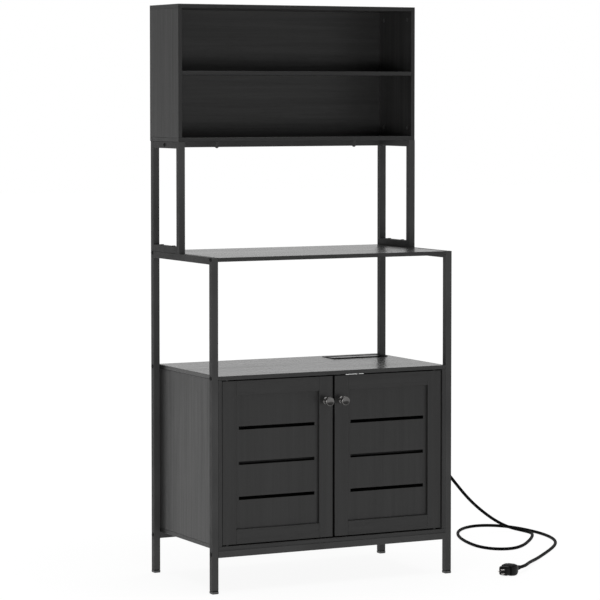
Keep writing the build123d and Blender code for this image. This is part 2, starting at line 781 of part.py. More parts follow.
os.makedirs("parts", exist_ok=True)
bolt_bores = build_frame()
build_leg_caps()
cabinet_cams = build_cabinet(bolt_bores)
build_shelves_and_hutch(bolt_bores, cabinet_cams)
build_doors()
build_pivot_pins()
build_catch()
build_outlet()
build_gland()
build_cord()
build_plug()
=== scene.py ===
import json
from math import cos, pi, radians, sin

import bmesh
import bpy
from mathutils import Matrix, Vector


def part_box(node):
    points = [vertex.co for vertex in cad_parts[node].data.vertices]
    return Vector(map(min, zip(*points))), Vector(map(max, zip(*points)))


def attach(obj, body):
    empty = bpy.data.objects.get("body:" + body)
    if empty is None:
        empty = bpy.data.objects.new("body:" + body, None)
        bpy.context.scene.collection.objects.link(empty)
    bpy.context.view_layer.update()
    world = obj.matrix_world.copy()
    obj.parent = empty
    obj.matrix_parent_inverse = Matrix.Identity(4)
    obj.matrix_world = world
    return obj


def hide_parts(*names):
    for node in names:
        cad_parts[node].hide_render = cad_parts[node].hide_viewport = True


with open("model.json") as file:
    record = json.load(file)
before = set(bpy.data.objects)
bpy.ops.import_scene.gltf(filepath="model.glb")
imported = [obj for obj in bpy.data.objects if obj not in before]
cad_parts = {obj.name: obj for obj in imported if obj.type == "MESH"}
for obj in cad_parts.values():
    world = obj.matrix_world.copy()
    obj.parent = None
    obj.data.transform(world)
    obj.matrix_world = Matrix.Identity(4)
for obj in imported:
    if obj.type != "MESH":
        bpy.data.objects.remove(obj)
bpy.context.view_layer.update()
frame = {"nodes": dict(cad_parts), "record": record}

# Lengths are in metres, except the camera's lens and sensor, which are in millimetres. Angles are
# in degrees, and tones are linear greys.

# The camera stands to the left and in front of the rack.
CAMERA_PLACE = (-3.8145, -7.4245, 1.4483)
CAMERA_TURN = 27.136
CAMERA_TILT = 2.773
CAMERA_LENS = 166.974
CAMERA_SENSOR = 36.0
CAMERA_SHIFT = -0.12
CAMERA_REACH = 100.0

# The surroundings look white. As light they are brightest towards one side: their strength grows
# with the cosine of the angle to it.
WHITE = (1, 1, 1, 1)
BRIGHT_SIDE = (0.6, 0.8, 0.0)
BRIGHT_COSINES = (0.3, 0.95)
BRIGHT_STRENGTHS = (0.24, 0.85)

# Area lights: name, place, what it points at, width and height, and power in watts.
AREA_LIGHTS = (
    ("overhead", (0.0, -0.5, 4.5), (0.0, 0.0, 0.0), (4.0, 4.0), 110.0),
    ("front_left_panel", (-1.8, -4.3, 0.65), (0.0, 0.0, 0.8), (1.6, 1.0), 75.0),
)

# The floor glows, a little less near the rack, where a faint shadow shows, than far from it: the
# dimmer glow near the rack is painted shade around it.
FLOOR_HALF_WIDTH = 30.0
FLOOR_TONE = (0.1, 0.1, 0.1, 1)
FLOOR_DISTANCES = (0.4, 2.5)
FLOOR_GLOWS = (0.92, 0.985)

# Smoothness of round pieces: steps around a turned shape, around a corner and along a rib, and the
# angle above which an edge stays sharp.
TURNED_STEPS = 40
CORNER_STEPS = 7
RIB_STEPS = 8
SMOOTH_ANGLE = 35.0

# The noise values at which a mottled tone has its darker and its lighter shade.
MOTTLE_STOPS = (0.35, 0.65)

# Woodgrain: repeats per metre along and across the grain, the noise values of its shades and how
# warm they are, and the shares of the broad figure and the streaks in it.
GRAIN_BROAD = (0.9, 14.0)
GRAIN_STREAK = (2.4, 95.0)
GRAIN_PORE = (24.0, 900.0)
GRAIN_STOPS = (0.36, 0.5, 0.64)
GRAIN_WARMTHS = (0.01, 0.008, 0.005)
BROAD_SHARE = 0.45
STREAK_SHARE = 0.55

# The pores in it: where their noise goes from pore to board, and how dark they are.
PORE_STOPS = (0.3, 0.46)
PORE_TONE_SHARE = 0.62

# The relief of the woodgrain, from its streaks and its pores, and its depth.
STREAK_RELIEF = 0.6
PORE_RELIEF = 0.5
GRAIN_RELIEF = 0.0003

# The square of a normal's share along an axis, from where a face starts to count as facing that
# axis to where it fully does.
FACING_STOPS = (0.5, 0.8)

# Boards by slot: darkest and lightest tone, how far each further board moves along the pattern
# and where the first one starts, how the names of boards with an upright grain end, and the share
# of its tones that a board's edges keep, which paints shade on them.
BOARDS = {
    "case_board": {"tones": (0.012, 0.03), "step": (0.37, 0.53, 0.29), "upright": ("_side",),
                   "edge_shade_share": 0.5},
    "top_board": {"tones": (0.02, 0.045), "step": (0.61, 0.43, 0.0), "edge_shade_share": 0.25,
                  "rough": (0.2, 0.3), "specular": 0.5},
    "back_sheet": {"tones": (0.01, 0.022), "step": (0.71, 0.0, 0.0), "start": (0.0, 0.0, 0.47)},
    "door_board": {"tones": (0.008, 0.013), "step": (0.23, 0.31, 0.41),
                   "upright": ("_stile", "_panel")},
}

# Plastics and metals by slot: tone, and what differs from the usual plastic or metal.
PLASTICS = {
    "bush_plastic": {"tone": 0.01},
    "catch_plastic": {"tone": 0.02},
    "outlet_trim": {"tone": 0.003, "rough": (0.7, 0.8), "specular": 0.05},
    "outlet_plastic": {"tone": 0.02, "rough": (0.25, 0.35)},
}
METALS = {
    "pin_steel": {"tone": 0.55},
    "cam_metal": {"tone": 0.22, "rough": (0.35, 0.5)},
    "catch_steel": {"tone": 0.95, "rough": (0.3, 0.45), "lines": "x"},
    "usb_steel": {"tone": 0.5, "lines": "z"},
    "prong_metal": {"tone": 0.9, "rough": (0.25, 0.35), "warmth": 0.03},
}

# The same for what doesn't have its slot's usual finish, and for the scene's own pieces.
PIVOT_PIN_METAL = {"tone": 0.04, "rough": (0.35, 0.5)}
BOLT_COAT = {"tone": 0.004, "rough": (0.4, 0.5), "specular": 0.1}
CORD_JACKET = {"tone": 0.001, "rough": (0.55, 0.65), "grain": 900.0, "specular": 0.05}
CORD_PLASTIC = {"tone": 0.003, "rough": (0.45, 0.55), "specular": 0.15}
TONGUE_PLASTIC = {"tone": 0.7, "rough": (0.35, 0.45)}
RIM_PLASTIC = {"tone": 0.002, "rough": (0.5, 0.6), "specular": 0.1}

# Tones of the frame's powder coat and of the knobs.
STEEL_TONE = 0.036
KNOB_TONE = 0.12

# Repeats per metre of the patterns on coats, plastics and metals, and the depth of their relief.
COAT_DRIFT = 5
COAT_SMUDGE = 40
COAT_PEEL = 650
COAT_RELIEF = 0.00012
PLASTIC_CLOUD = 30
PLASTIC_GRAIN = 1600
PLASTIC_RELIEF = 0.00008
METAL_SMEAR = 60
METAL_GRAIN = 900
METAL_LINES = (40.0, 2600.0)
METAL_RELIEF = 0.00004
KNOB_SMEAR = 90
KNOB_RINGS = 190
KNOB_RELIEF = 0.00003
FOOT_CLOUD = 60
FOOT_GRAIN = 1200
FOOT_RELIEF = 0.00006

# The foot's tones, and the shares of them that it has at four heights, which are shares of its top:
# painted shade at its bottom edge and at its neck under the tube. Its tones are lighter than the
# other plastics', partly as a painted highlight.
FOOT_TOP = 0.010
FOOT_TONES = (0.07, 0.09)
FOOT_SHADE_HEIGHTS = (0.2, 0.3, 0.62, 0.7)
FOOT_SHADE_SHARES = (0.15, 1.0, 1.0, 0.03)

# The sleeve where the cord leaves the rack.
GLAND_STEM = 0.007
GLAND_FLANGE = 0.009
GLAND_FLANGE_DEPTH = 0.0025
GLAND_EDGE = 0.0005
GLAND_RIBS = 5
GLAND_MOUTH = 0.0062
GLAND_LIP = 0.001
GLAND_LIP_INSET = 0.0006
RIB_GROOVE = 0.0008

# The plug, from its ribbed boot to its nose, and the height of its axis above the floor.
PLUG_AXIS = 0.017
PLUG_BOOT_LENGTH = 0.028
PLUG_BOOT_START = 0.0064
PLUG_BOOT_END = 0.010
PLUG_BOOT_RIBS = 6
PLUG_GRIP_LENGTH = 0.040
PLUG_WIDTH = 0.044
PLUG_HEIGHT = 0.034
PLUG_CORNER = 0.006
PLUG_NOSE_LENGTH = 0.017
PLUG_NOSE_WIDTH = 0.031
PLUG_NOSE_HEIGHT = 0.027
RIDGES = 5
RIDGE_PITCH = 0.004
RIDGE_WIDTH_SHARE = 0.55
RIDGE_THICKNESS = 0.0016
RIDGE_CORNER = 0.0006
RIDGE_SHOULDER = 0.0009
RIDGE_HEIGHT = 0.0012
RIDGE_TOP_SHARE = 0.6

# The contact tongue inside each USB shell.
USB_HEIGHT = 0.0056
TONGUE_WIDTH_SHARE = 0.8
TONGUE_THICKNESS = 0.0016
TONGUE_CORNER = 0.0003
TONGUE_SHIFT = 0.0008
TONGUE_FLOOR = 0.0008
TONGUE_RECESS = 0.0012
TONGUE_TIP = 0.0004
TONGUE_TIP_THICKNESS = 0.001
CONTACTS = 4
CONTACT_PITCHES = 4.4
CONTACT_WIDTH = 0.0011
CONTACT_THICKNESS = 0.0003
CONTACT_CORNER = 0.0001
CONTACT_SHIFT = 0.0009
CONTACT_START_SHARE = 0.4
CONTACT_LENGTH_SHARE = 0.5

# The studs under the hutch floor: how far to each side, and how far behind its front edge.
STUD_PLACE = 0.233
STUD_DEPTH = 0.0865
STUD_LENGTH = 0.0155
STUD_RADIUS = 0.0058
STUD_FLANGE_RADIUS = 0.008
STUD_FLANGE = 0.001
STUD_FLANGE_EDGE = 0.0012
STUD_DOME = 0.006
STUD_DOME_BRIM = 0.0002
STUD_DOME_STEPS = 6
STUD_STEPS = 24

# The rim around the outlet module. Its back has only a share of its front's height.
RIM_HEIGHT = 0.003
RIM_WIDTH = 0.0028
RIM_EDGE = 0.0006
RIM_CORNER = 0.004
RIM_BACK_SHARE = 0.25

# The free cord, with the height of its middle line on the floor and just before the plug.
CORD_DIAMETER = 0.010
CORD_FLOOR = 0.00525
CORD_RISE = 0.012

# The cord's route: to the right of the gland's mouth, behind it, and above the floor.
CORD_ROUTE = [
    (0.000, 0.000, 0.603),
    (0.000, 0.028, 0.603),
    (0.008, 0.056, 0.593),
    (0.027, 0.078, 0.571),
    (0.064, 0.086, 0.531),
    (0.120, 0.088, 0.472),
    (0.189, 0.089, 0.403),
    (0.266, 0.094, 0.330),
    (0.341, 0.105, 0.258),
    (0.409, 0.123, 0.187),
    (0.474, 0.143, 0.124),
    (0.537, 0.161, 0.076),
    (0.597, 0.170, 0.037),
    (0.645, 0.162, 0.013),
    (0.677, 0.128, CORD_FLOOR),
    (0.679, 0.075, CORD_FLOOR),
    (0.641, 0.012, CORD_FLOOR),
    (0.582, -0.061, CORD_FLOOR),
    (0.518, -0.130, CORD_FLOOR),
    (0.456, -0.169, CORD_FLOOR),
    (0.402, -0.152, CORD_FLOOR),
    (0.378, -0.091, CORD_FLOOR),
    (0.389, 0.002, CORD_FLOOR),
    (0.419, 0.107, CORD_FLOOR),
    (0.468, 0.202, CORD_FLOOR),
    (0.531, 0.268, CORD_FLOOR),
    (0.594, 0.292, CORD_FLOOR),
    (0.649, 0.270, CORD_FLOOR),
    (0.685, 0.211, CORD_FLOOR),
    (0.700, 0.128, CORD_FLOOR),
    (0.699, 0.036, CORD_FLOOR),
    (0.681, -0.047, CORD_FLOOR),
    (0.651, -0.114, CORD_FLOOR),
    (0.610, -0.172, CORD_FLOOR),
    (0.560, -0.228, CORD_FLOOR),
    (0.498, -0.291, CORD_FLOOR),
    (0.423, -0.364, CORD_FLOOR),
    (0.344, -0.446, CORD_RISE),
    (0.282, -0.521, PLUG_AXIS),
    (0.255, -0.533, PLUG_AXIS),
]


class Shader:
    """A node tree being built for one material, with the principled shader at its end."""

    def __init__(self, name, **values):
        self.material = bpy.data.materials.new(name)
        self.material.use_nodes = True
        self.tree = self.material.node_tree
        self.tree.nodes.clear()
        self.surface = self.node("ShaderNodeBsdfPrincipled")
        output = self.node("ShaderNodeOutputMaterial")
        self.link(self.surface.outputs["BSDF"], output.inputs["Surface"])
        for socket, value in values.items():
            self.surface.inputs[socket.replace("_", " ")].default_value = value

    def node(self, kind, **settings):
        made = self.tree.nodes.new(kind)
        for name, value in settings.items():
            setattr(made, name, value)
        return made

    def link(self, output, socket):
        self.tree.links.new(output, socket)

    def place(self, scale, shift=(0, 0, 0)):
        """The piece's object coordinates, stretched by scale."""
        coordinates = self.node("ShaderNodeTexCoord")
        mapping = self.node("ShaderNodeMapping")
        mapping.inputs["Location"].default_value = shift
        mapping.inputs["Scale"].default_value = scale
        self.link(coordinates.outputs["Object"], mapping.inputs["Vector"])
        return mapping.outputs["Vector"]

    def noise(self, scale, detail=4.0, roughness=0.55, distortion=0.0, shift=(0, 0, 0)):
        texture = self.node("ShaderNodeTexNoise")
        texture.inputs["Scale"].default_value = 1.0
        texture.inputs["Detail"].default_value = detail
        texture.inputs["Roughness"].default_value = roughness
        texture.inputs["Distortion"].default_value = distortion
        self.link(self.place(scale, shift), texture.inputs["Vector"])
        return texture.outputs["Fac"]

    def ramp(self, factor, positions, colours):
        """Blends from colour to colour, with one at each position of the factor."""
        ramp = self.node("ShaderNodeValToRGB")
        elements = ramp.color_ramp.elements
        while len(elements) < len(positions):
            elements.new(0.5)
        for element, position, colour in zip(elements, positions, colours):
            element.position = position
            element.color = (*colour, 1.0)
        self.link(factor, ramp.inputs["Fac"])
        return ramp.outputs["Color"]

    def mottle(self, factor, darker, lighter, warmth=0.0):
        """Drifts with a noise between two greys."""
        return self.ramp(factor, MOTTLE_STOPS, (grey(darker, warmth), grey(lighter, warmth)))

    def spread(self, factor, low, high, from_low=0.3, from_high=0.7):
        """Maps a factor, most often a noise, to a range of values."""
        spread = self.node("ShaderNodeMapRange")
        spread.inputs["From Min"].default_value = from_low
        spread.inputs["From Max"].default_value = from_high
        spread.inputs["To Min"].default_value = low
        spread.inputs["To Max"].default_value = high
        self.link(factor, spread.inputs["Value"])
        return spread.outputs["Result"]

    def mix(self, kind, factor, first, second):
        mix = self.node("ShaderNodeMix", data_type="RGBA", blend_type=kind)
        if isinstance(factor, (int, float)):
            mix.inputs["Factor"].default_value = factor
        else:
            self.link(factor, mix.inputs["Factor"])
        self.link(first, mix.inputs["A"])
        self.link(second, mix.inputs["B"])
        return mix.outputs["Result"]

    def maths(self, operation, first, second):
        node = self.node("ShaderNodeMath", operation=operation)
        self.link(first, node.inputs[0])
        if isinstance(second, (int, float)):
            node.inputs[1].default_value = second
        else:
            self.link(second, node.inputs[1])
        return node.outputs["Value"]

    def facing(self, axis):
        """How squarely the surface faces along one of its object's axes, from 0 to 1."""
        coordinates = self.node("ShaderNodeTexCoord")
        separate = self.node("ShaderNodeSeparateXYZ")
        self.link(coordinates.outputs["Normal"], separate.inputs["Vector"])
        lean = separate.outputs[axis.upper()]
        return self.spread(self.maths("MULTIPLY", lean, lean), 0.0, 1.0, *FACING_STOPS)

    def bump(self, height, distance, strength):
        bump = self.node("ShaderNodeBump")
        bump.inputs["Strength"].default_value = strength
        bump.inputs["Distance"].default_value = distance
        self.link(height, bump.inputs["Height"])
        self.link(bump.outputs["Normal"], self.surface.inputs["Normal"])

    def colour(self, output):
        self.link(output, self.surface.inputs["Base Color"])

    def roughness(self, output):
        self.link(output, self.surface.inputs["Roughness"])


def grey(value, warmth=0.0):
    return (value * (1 + warmth), value, value * (1 - warmth))


def even(scale):
    """The same scale along all three axes."""
    return (scale, scale, scale)


def along(axis, run, across):
    """Scale that stretches a pattern along one axis, such as a board's grain."""
    return tuple(run if letter == axis else across for letter in "xyz")


def laminate(name, axis, thin, tones, shift, rough=(0.3, 0.42), specular=0.4, edge_shade_share=None):
    """Charcoal woodgrain laminate: streaks and open pores that run along one axis.

    Given an edge shade share, a board's edges have only that share of its tones: painted shade
    on them. They are the faces that don't face along its thin axis."""
    low, high = tones
    shader = Shader(name, Specular_IOR_Level=specular)
    broad = shader.noise(along(axis, *GRAIN_BROAD), detail=3.0, distortion=0.6, shift=shift)
    streak = shader.noise(along(axis, *GRAIN_STREAK), detail=6.0, roughness=0.62, distortion=0.35,
                          shift=shift)
    pore = shader.noise(along(axis, *GRAIN_PORE), detail=2.0, roughness=0.5, shift=shift)
    figure = shader.maths("ADD", shader.maths("MULTIPLY", broad, BROAD_SHARE),
                          shader.maths("MULTIPLY", streak, STREAK_SHARE))
    shades = [grey(tone, warmth)
              for tone, warmth in zip((low, (low + high) / 2, high), GRAIN_WARMTHS)]
    pits = shader.ramp(pore, PORE_STOPS, (grey(PORE_TONE_SHARE), grey(1.0)))
    grain = shader.mix("MULTIPLY", 1.0, shader.ramp(figure, GRAIN_STOPS, shades), pits)
    # Painted shade on the board's edges: they keep only a share of the grain's tones.
    if edge_shade_share:
        edge = shader.ramp(figure, (GRAIN_STOPS[0], GRAIN_STOPS[-1]),
                           (grey(low * edge_shade_share), grey(high * edge_shade_share)))
        grain = shader.mix("MIX", shader.facing(thin), edge, grain)
    shader.colour(grain)
    shader.roughness(shader.spread(streak, rough[1], rough[0]))
    relief = shader.maths("ADD", shader.maths("MULTIPLY", streak, STREAK_RELIEF),
                          shader.spread(pore, 0.0, PORE_RELIEF, *PORE_STOPS))
    shader.bump(relief, GRAIN_RELIEF, strength=0.55)
    return shader.material


def powder_coat(name, tone, rough=(0.45, 0.58), specular=0.15):
    """Satin powder coat with a fine orange-peel skin and a slight drift in its tone."""
    shader = Shader(name, Specular_IOR_Level=specular)
    drift = shader.noise(even(COAT_DRIFT), detail=3.0)
    shader.colour(shader.mottle(drift, tone * 0.85, tone * 1.15))
    shader.roughness(shader.spread(shader.noise(even(COAT_SMUDGE), detail=5.0), *rough))
    shader.bump(shader.noise(even(COAT_PEEL), detail=2.0), COAT_RELIEF, strength=0.5)
    return shader.material


def moulded(name, tone, rough=(0.4, 0.5), grain=PLASTIC_GRAIN, specular=0.45):
    """Moulded plastic or rubber with a fine spark-eroded texture."""
    shader = Shader(name, Specular_IOR_Level=specular)
    cloud = shader.noise(even(PLASTIC_CLOUD), detail=4.0)
    shader.colour(shader.mottle(cloud, tone * 0.85, tone * 1.2))
    shader.roughness(shader.spread(cloud, *rough))
    shader.bump(shader.noise(even(grain), detail=2.0), PLASTIC_RELIEF, strength=0.6)
    return shader.material


def foot_plastic():
    """Dark moulded foot, with painted shade at its bottom edge and at its neck under the tube."""
    shader = Shader("cap_plastic", Specular_IOR_Level=0.12)
    coordinates = shader.node("ShaderNodeTexCoord")
    separate = shader.node("ShaderNodeSeparateXYZ")
    shader.link(coordinates.outputs["Object"], separate.inputs["Vector"])
    height = shader.spread(separate.outputs["Z"], 0.0, 1.0, 0.0, FOOT_TOP)
    cloud = shader.noise(even(FOOT_CLOUD), detail=3.0)
    # Painted shade: the foot darkens at its bottom edge and at its neck under the tube.
    painted_shade_bands = shader.ramp(height, FOOT_SHADE_HEIGHTS, [grey(share) for share in FOOT_SHADE_SHARES])
    shader.colour(shader.mix("MULTIPLY", 1.0, shader.mottle(cloud, *FOOT_TONES), painted_shade_bands))
    shader.roughness(shader.spread(cloud, 0.25, 0.35))
    shader.bump(shader.noise(even(FOOT_GRAIN), detail=2.0), FOOT_RELIEF, strength=0.5)
    return shader.material


def metal(name, tone, rough=(0.18, 0.3), warmth=0.0, lines=None):
    """Bare or plated metal with fine tooling lines along one axis, or none."""
    shader = Shader(name, Metallic=1.0)
    smear = shader.noise(even(METAL_SMEAR), detail=5.0)
    shader.colour(shader.mottle(smear, tone * 0.9, tone * 1.08, warmth))
    shader.roughness(shader.spread(smear, *rough))
    scale = along(lines, *METAL_LINES) if lines else even(METAL_GRAIN)
    shader.bump(shader.noise(scale, detail=3.0), METAL_RELIEF, strength=0.5)
    return shader.material


def turned(name, tone, centre):
    """Dark polished metal of a turned knob, with tooling rings about its axis, along Y."""
    shader = Shader(name, Metallic=1.0)
    smear = shader.noise(even(KNOB_SMEAR), detail=5.0)
    rings = shader.node("ShaderNodeTexWave", wave_type="RINGS", rings_direction="Y")
    rings.inputs["Scale"].default_value = KNOB_RINGS
    rings.inputs["Distortion"].default_value = 0.3
    shader.link(shader.place(even(1), [-value for value in centre]), rings.inputs["Vector"])
    shader.colour(shader.mottle(smear, tone * 0.85, tone * 1.1, warmth=0.02))
    shader.roughness(shader.spread(smear, 0.14, 0.22))
    shader.bump(rings.outputs["Fac"], KNOB_RELIEF, strength=0.35)
    return shader.material


def slot_nodes(slot):
    return [part["node"] for part in frame["record"]["subparts"] if part["material_slot"] == slot]


def paint(node, material):
    mesh = frame["nodes"][node].data
    mesh.materials.clear()
    mesh.materials.append(material)


def paint_slot(slot, material):
    for node in slot_nodes(slot):
        paint(node, material)


def paint_frame():
    paint_slot("frame_steel", powder_coat("frame_steel", STEEL_TONE))
    paint("leg_caps", foot_plastic())
    paint("frame_bolts", powder_coat("bolt_steel", **BOLT_COAT))


def paint_boards(slot, tones, step, start=(0, 0, 0), upright=(), **finish):
    """Every board has its own stretch of the pattern, with the grain along its longer side."""
    for index, node in enumerate(slot_nodes(slot)):
        axis, thin = ("z", "x") if node.endswith(upright) else ("x", "z")
        shift = [first + index * move for first, move in zip(start, step)]
        paint(node, laminate(slot + "_" + node, axis, thin, tones, shift, **finish))


def paint_knobs():
    for side in ("left", "right"):
        low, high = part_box(side + "_door_knob")
        middle = (low + high) / 2
        paint(side + "_door_knob", turned("knob_metal_" + side, KNOB_TONE, middle))


def paint_fittings():
    """Each slot has its own material, but the pivot pins are darker than the other pins."""
    for slot, finish in PLASTICS.items():
        paint_slot(slot, moulded(slot, **finish))
    for slot, finish in METALS.items():
        paint_slot(slot, metal(slot, **finish))
    paint("door_pivot_pins", metal("dark_pin_steel", **PIVOT_PIN_METAL))


def add_object(name, data):
    made = bpy.data.objects.new(name, data)
    bpy.context.scene.collection.objects.link(made)
    return made


def link_piece(data, name, material, body):
    piece = add_object(name, data)
    data.materials.append(material)
    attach(piece, body)
    return piece


def mesh_piece(name, shells, material, closed=False):
    """A piece made of closed shells, each a list of rings with the same number of points.

    A shell is capped at its two ends, or where closed is true, its last ring joins its first."""
    mesh = bpy.data.meshes.new(name)
    bm = bmesh.new()
    for rings in shells:
        rows = [[bm.verts.new(point) for point in ring] for ring in rings]
        count = len(rows[0])
        for low, high in zip(rows, rows[1:] + rows[:1] if closed else rows[1:]):
            for index in range(count):
                following = (index + 1) % count
                bm.faces.new((low[index], low[following], high[following], high[index]))
        if not closed:
            bm.faces.new(rows[0][::-1])
            bm.faces.new(rows[-1])
    bmesh.ops.recalc_face_normals(bm, faces=bm.faces)
    bm.to_mesh(mesh)
    bm.free()
    mesh.shade_smooth()
    mesh.set_sharp_from_angle(angle=radians(SMOOTH_ANGLE))
    return link_piece(mesh, name, material, "frame")


def turned_rings(profile, place, steps=TURNED_STEPS):
    """Rings of a turned shape: the profile lists (distance along the axis, radius)."""
    rings = []
    for distance, radius in profile:
        angles = [2 * pi * step / steps for step in range(steps)]
        rings.append([place @ Vector((radius * cos(angle), radius * sin(angle), distance))
                      for angle in angles])
    return rings


def oblong(width, height, corner, distance, place):
    """One ring: a rectangle with rounded corners."""
    points = []
    for quarter, (side_x, side_y) in enumerate(((1, 1), (-1, 1), (-1, -1), (1, -1))):
        middle_x = side_x * (width / 2 - corner)
        middle_y = side_y * (height / 2 - corner)
        for step in range(CORNER_STEPS):
            angle = (quarter + step / (CORNER_STEPS - 1)) * pi / 2
            points.append(place @ Vector((middle_x + corner * cos(angle),
                                          middle_y + corner * sin(angle), distance)))
    return points


def ribs(start, end, radius_start, radius_end, count):
    """Profile of a tapering sleeve with rounded grooves around it."""
    profile = []
    steps = count * RIB_STEPS
    for step in range(steps + 1):
        share = step / steps
        wave = (1 - cos(2 * pi * count * share)) / 2
        radius = radius_start + (radius_end - radius_start) * share
        profile.append((start + (end - start) * share, radius - RIB_GROOVE * wave))
    return profile


def axes(origin, x_axis, y_axis, z_axis):
    matrix = Matrix((x_axis, y_axis, z_axis)).transposed().to_4x4()
    matrix.translation = origin
    return matrix


def gland_mouth():
    low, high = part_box("cord_gland")
    return Vector(((low.x + high.x) / 2, high.y, (low.z + high.z) / 2))


def cord_points():
    mouth = gland_mouth()
    return [Vector((mouth.x + right, mouth.y + behind, height))
            for right, behind, height in CORD_ROUTE]


def add_cord():
    """The jacket as one smooth line through the air and over the floor, from gland to plug."""
    curve = bpy.data.curves.new("power_cord", "CURVE")
    curve.dimensions = "3D"
    curve.bevel_depth = CORD_DIAMETER / 2
    curve.bevel_resolution = 5
    curve.resolution_u = 10
    curve.use_fill_caps = True
    spline = curve.splines.new("NURBS")
    points = cord_points()
    spline.points.add(len(points) - 1)
    for target, point in zip(spline.points, points):
        target.co = (*point, 1.0)
    spline.order_u = 3
    spline.use_endpoint_u = True
    jacket = moulded("cord_jacket", **CORD_JACKET)
    cord = link_piece(curve, "power_cord", jacket, "frame")
    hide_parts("cord")
    plastic = moulded("cord_plastic", **CORD_PLASTIC)
    pieces = [add_strain_relief(plastic), add_plug(plastic), frame["nodes"]["plug_prongs"]]


def add_strain_relief(plastic):
    """Flange and stem inside the cabinet, and outside a ribbed sleeve that tapers to the cord."""
    low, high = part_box("cord_gland")
    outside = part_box("cabinet_back")[1].y
    box_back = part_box("outlet_box")[1].y
    flange_back = box_back + GLAND_FLANGE_DEPTH
    mouth = gland_mouth()
    place = axes(Vector((mouth.x, 0, mouth.z)), Vector((-1, 0, 0)), Vector((0, 0, 1)),
                 Vector((0, 1, 0)))
    profile = [
        (low.y, GLAND_STEM),
        (box_back, GLAND_STEM),
        (box_back, GLAND_FLANGE - GLAND_EDGE),
        (box_back + GLAND_EDGE, GLAND_FLANGE),
        (flange_back - GLAND_EDGE, GLAND_FLANGE),
        (flange_back, GLAND_FLANGE - GLAND_EDGE),
        (flange_back, GLAND_STEM),
        (outside, GLAND_STEM),
    ]
    profile += ribs(outside + GLAND_EDGE, high.y - GLAND_LIP, GLAND_STEM, GLAND_MOUTH, GLAND_RIBS)
    profile += [(high.y, GLAND_MOUTH - GLAND_LIP_INSET)]
    relief = mesh_piece("strain_relief", [turned_rings(profile, place)], plastic)
    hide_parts("cord_gland")
    return relief


def add_plug(plastic):
    """Moulded plug: ribbed boot, flattened grip with finger ridges, and a narrower nose."""
    points = cord_points()
    ahead = (points[-1] - points[-2]).normalized()
    across = ahead.cross(Vector((0, 0, 1)))
    place = axes(points[-1], across, ahead.cross(across), ahead)
    boot = ribs(0.0, PLUG_BOOT_LENGTH, PLUG_BOOT_START, PLUG_BOOT_END, PLUG_BOOT_RIBS)
    widest = PLUG_BOOT_LENGTH + PLUG_GRIP_LENGTH / 2
    nose = PLUG_BOOT_LENGTH + PLUG_GRIP_LENGTH
    end = nose + PLUG_NOSE_LENGTH
    # Distance along the axis, and share of the plug's full width and height.
    swell = (
        (PLUG_BOOT_LENGTH - 0.004, 0.55),
        (PLUG_BOOT_LENGTH, 0.7),
        (PLUG_BOOT_LENGTH + 0.006, 0.84),
        (widest - 0.006, 0.97),
        (widest, 1.0),
        (widest + 0.006, 0.985),
        (nose - 0.0025, 0.93),
        (nose, 0.86),
    )
    grip = [oblong(PLUG_WIDTH * share, PLUG_HEIGHT * share, PLUG_CORNER, distance, place)
            for distance, share in swell]
    # Distance along the axis, and how much smaller than the nose's full width and height.
    taper = ((nose - 0.001, 0.0), (end - 0.0012, 0.0), (end - 0.0003, 0.0008), (end, 0.002))
    front = [oblong(PLUG_NOSE_WIDTH - inset, PLUG_NOSE_HEIGHT - inset, PLUG_CORNER - inset / 2,
                    distance, place)
             for distance, inset in taper]
    shells = [turned_rings(boot, place), grip, front]
    for index in range(RIDGES):
        distance = widest + (index - (RIDGES - 1) / 2) * RIDGE_PITCH
        for side in (1, -1):
            root = Matrix.Translation((0, side * (PLUG_HEIGHT / 2 - RIDGE_HEIGHT), distance))
            upwards = place @ root @ Matrix.Rotation(-side * pi / 2, 4, "X")
            shells.append([
                oblong(PLUG_WIDTH * RIDGE_WIDTH_SHARE, RIDGE_THICKNESS * share,
                       RIDGE_CORNER * share, height, upwards)
                for height, share in ((0.0, 1.0), (RIDGE_SHOULDER, 1.0),
                                      (RIDGE_HEIGHT, RIDGE_TOP_SHARE))])
    moulding = mesh_piece("plug_moulding", shells, plastic)
    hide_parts("plug_body")
    return moulding


def add_usb_tongues():
    """The contact tongue inside each USB shell, with its contacts."""
    low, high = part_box("usb_ports")
    plastic = moulded("usb_tongue_plastic", **TONGUE_PLASTIC)
    shells = []
    width = (high.x - low.x) * TONGUE_WIDTH_SHARE
    floor = low.z + TONGUE_FLOOR
    depth = high.z - floor - TONGUE_RECESS
    tongue = (
        (width, TONGUE_THICKNESS, TONGUE_CORNER, 0.0),
        (width, TONGUE_THICKNESS, TONGUE_CORNER, depth - TONGUE_TIP),
        (width - 2 * TONGUE_TIP, TONGUE_TIP_THICKNESS, TONGUE_CORNER, depth),
    )
    for y in (low.y + USB_HEIGHT / 2, high.y - USB_HEIGHT / 2):
        place = Matrix.Translation(((low.x + high.x) / 2, y + TONGUE_SHIFT, floor))
        shells.append([oblong(*size, place) for size in tongue])
        for index in range(CONTACTS):
            right = (index - (CONTACTS - 1) / 2) * width / CONTACT_PITCHES
            pad = place @ Matrix.Translation((right, -CONTACT_SHIFT, depth * CONTACT_START_SHARE))
            shells.append([
                oblong(CONTACT_WIDTH, CONTACT_THICKNESS, CONTACT_CORNER, distance, pad)
                for distance in (0.0, depth * CONTACT_LENGTH_SHARE)])
    mesh_piece("usb_tongues", shells, plastic)


